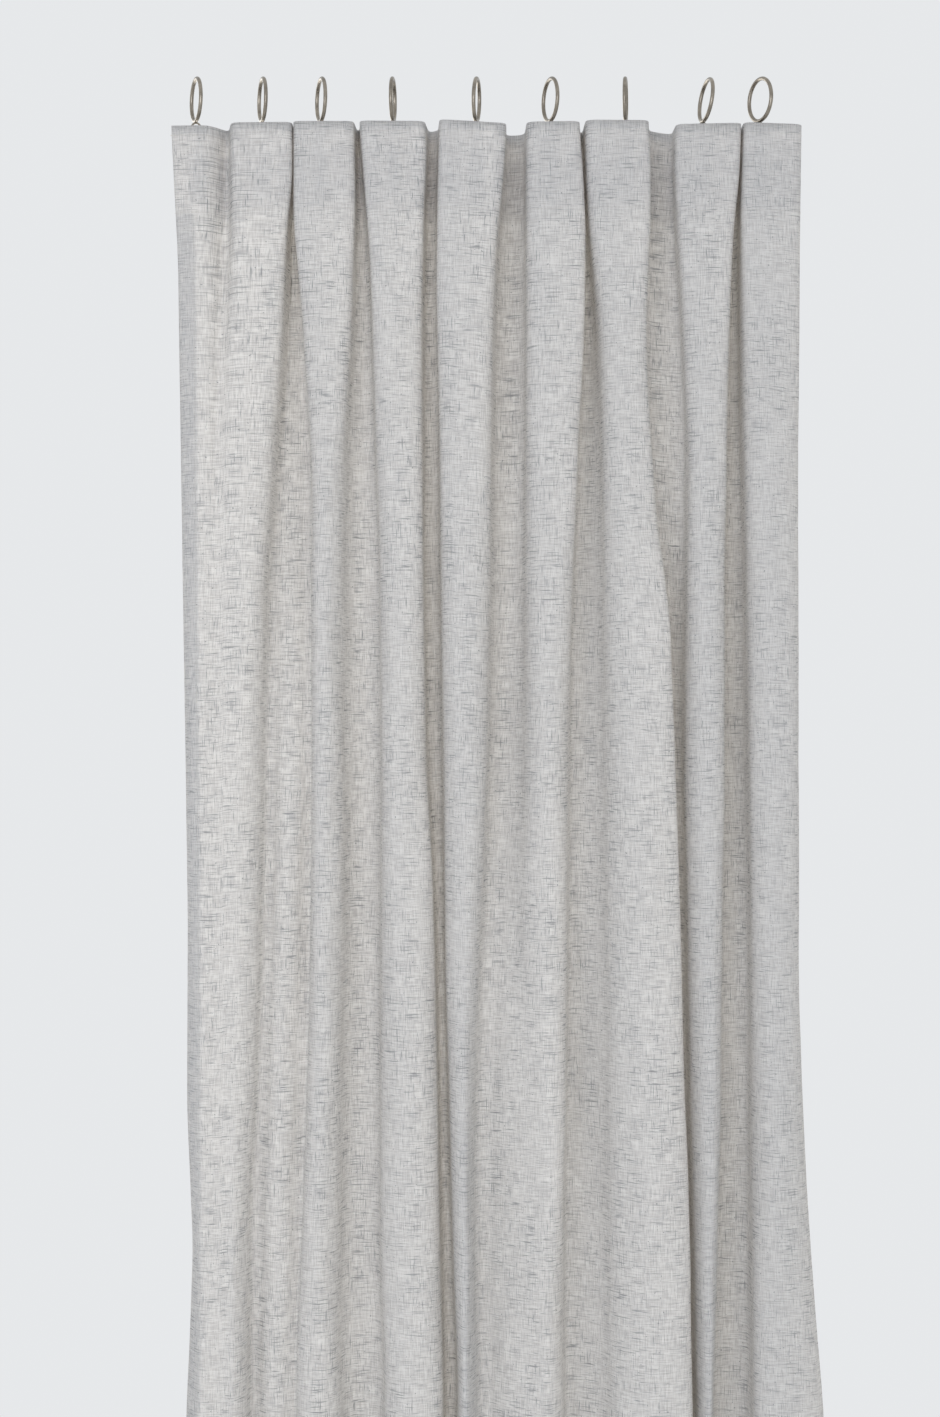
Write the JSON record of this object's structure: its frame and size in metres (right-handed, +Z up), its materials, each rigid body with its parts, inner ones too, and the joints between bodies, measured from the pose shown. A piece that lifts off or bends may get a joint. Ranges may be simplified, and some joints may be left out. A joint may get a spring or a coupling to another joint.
{
  "type": "curtain panel with rings",
  "caption": "Long linen-look fabric curtain panel in stacked soft folds, with taped heading, wire hooks and metal pole rings.",
  "frame": {"origin": "on the axis of the pole that the rings hang on, at the middle of the hung panel's width", "axes": "+Z up; X along the pole, with the leading edge at -X and the fixed end at +X; -Y is the room side"},
  "size_m": [0.593, 0.0687, 2.1723],
  "materials": {
    "cloth": "slubby plain-weave linen look, light warm grey, slightly translucent",
    "heading_tape": "woven off-white heading tape",
    "hook_wire": "bright drawn steel wire",
    "ring_metal": "satin nickel plated steel"
  },
  "bodies": {
    "pleat_9": {"cloth_fold_9": "cloth", "heading_tape_9": "heading_tape", "hook_9": "hook_wire"},
    "swivel_ring_9": {"ring_9": "ring_metal"},
    "pleat_8": {"cloth_fold_8": "cloth", "heading_tape_8": "heading_tape", "hook_8": "hook_wire"},
    "swivel_ring_8": {"ring_8": "ring_metal"},
    "pleat_7": {"cloth_fold_7": "cloth", "heading_tape_7": "heading_tape", "hook_7": "hook_wire"},
    "swivel_ring_7": {"ring_7": "ring_metal"},
    "pleat_6": {"cloth_fold_6": "cloth", "heading_tape_6": "heading_tape", "hook_6": "hook_wire"},
    "swivel_ring_6": {"ring_6": "ring_metal"},
    "pleat_5": {"cloth_fold_5": "cloth", "heading_tape_5": "heading_tape", "hook_5": "hook_wire"},
    "swivel_ring_5": {"ring_5": "ring_metal"},
    "pleat_4": {"cloth_fold_4": "cloth", "heading_tape_4": "heading_tape", "hook_4": "hook_wire"},
    "swivel_ring_4": {"ring_4": "ring_metal"},
    "pleat_3": {"cloth_fold_3": "cloth", "heading_tape_3": "heading_tape", "hook_3": "hook_wire"},
    "swivel_ring_3": {"ring_3": "ring_metal"},
    "pleat_2": {"cloth_fold_2": "cloth", "heading_tape_2": "heading_tape", "hook_2": "hook_wire"},
    "swivel_ring_2": {"ring_2": "ring_metal"},
    "pleat_1": {"cloth_fold_1": "cloth", "heading_tape_1": "heading_tape", "hook_1": "hook_wire"},
    "swivel_ring_1": {"ring_1": "ring_metal"}
  },
  "joints": [
    {"name": "draw", "type": "slide", "parent": "pleat_9", "child": "pleat_1", "axis": [-1, 0, 0], "range_m": [0, 0.4]},
    {"name": "follow_2", "type": "slide", "parent": "pleat_9", "child": "pleat_2", "axis": [-1, 0, 0], "range_m": [0, 0.38473]},
    {"name": "follow_3", "type": "slide", "parent": "pleat_9", "child": "pleat_3", "axis": [-1, 0, 0], "range_m": [0, 0.3498]},
    {"name": "follow_4", "type": "slide", "parent": "pleat_9", "child": "pleat_4", "axis": [-1, 0, 0], "range_m": [0, 0.28799]},
    {"name": "follow_5", "type": "slide", "parent": "pleat_9", "child": "pleat_5", "axis": [-1, 0, 0], "range_m": [0, 0.2029]},
    {"name": "follow_6", "type": "slide", "parent": "pleat_9", "child": "pleat_6", "axis": [-1, 0, 0], "range_m": [0, 0.12481]},
    {"name": "follow_7", "type": "slide", "parent": "pleat_9", "child": "pleat_7", "axis": [-1, 0, 0], "range_m": [0, 0.0576]},
    {"name": "follow_8", "type": "slide", "parent": "pleat_9", "child": "pleat_8", "axis": [-1, 0, 0], "range_m": [0, 0.01167]},
    {"name": "ring_swivel_1", "type": "hinge", "parent": "pleat_1", "child": "swivel_ring_1", "pos_m": [-0.268, 0, -0.033], "axis": [0, 0, 1], "range_deg": [-49, 11]},
    {"name": "ring_swivel_2", "type": "hinge", "parent": "pleat_2", "child": "swivel_ring_2", "pos_m": [-0.207, 0, -0.033], "axis": [0, 0, 1], "range_deg": [-44, 16]},
    {"name": "ring_swivel_3", "type": "hinge", "parent": "pleat_3", "child": "swivel_ring_3", "pos_m": [-0.153, 0, -0.033], "axis": [0, 0, 1], "range_deg": [-45, 15]},
    {"name": "ring_swivel_4", "type": "hinge", "parent": "pleat_4", "child": "swivel_ring_4", "pos_m": [-0.087, 0, -0.033], "axis": [0, 0, 1], "range_deg": [-26, 34]},
    {"name": "ring_swivel_5", "type": "hinge", "parent": "pleat_5", "child": "swivel_ring_5", "pos_m": [-0.011, 0, -0.033], "axis": [0, 0, 1], "range_deg": [-22, 38]},
    {"name": "ring_swivel_6", "type": "hinge", "parent": "pleat_6", "child": "swivel_ring_6", "pos_m": [0.058, 0, -0.033], "axis": [0, 0, 1], "range_deg": [-48, 12]},
    {"name": "ring_swivel_7", "type": "hinge", "parent": "pleat_7", "child": "swivel_ring_7", "pos_m": [0.127, 0, -0.033], "axis": [0, 0, 1], "range_deg": [-24, 36]},
    {"name": "ring_swivel_8", "type": "hinge", "parent": "pleat_8", "child": "swivel_ring_8", "pos_m": [0.198, 0, -0.033], "axis": [0, 0, 1], "range_deg": [-42, 18]},
    {"name": "ring_swivel_9", "type": "hinge", "parent": "pleat_9", "child": "swivel_ring_9", "pos_m": [0.251, 0, -0.033], "axis": [0, 0, 1], "range_deg": [-55, 5]}
  ],
  "couplings": [
    {"joint": "follow_2", "follows": "draw", "ratio": 0.96181},
    {"joint": "follow_3", "follows": "draw", "ratio": 0.87447},
    {"joint": "follow_4", "follows": "draw", "ratio": 0.71996},
    {"joint": "follow_5", "follows": "draw", "ratio": 0.50723},
    {"joint": "follow_6", "follows": "draw", "ratio": 0.31201},
    {"joint": "follow_7", "follows": "draw", "ratio": 0.14397},
    {"joint": "follow_8", "follows": "draw", "ratio": 0.029155}
  ]
}
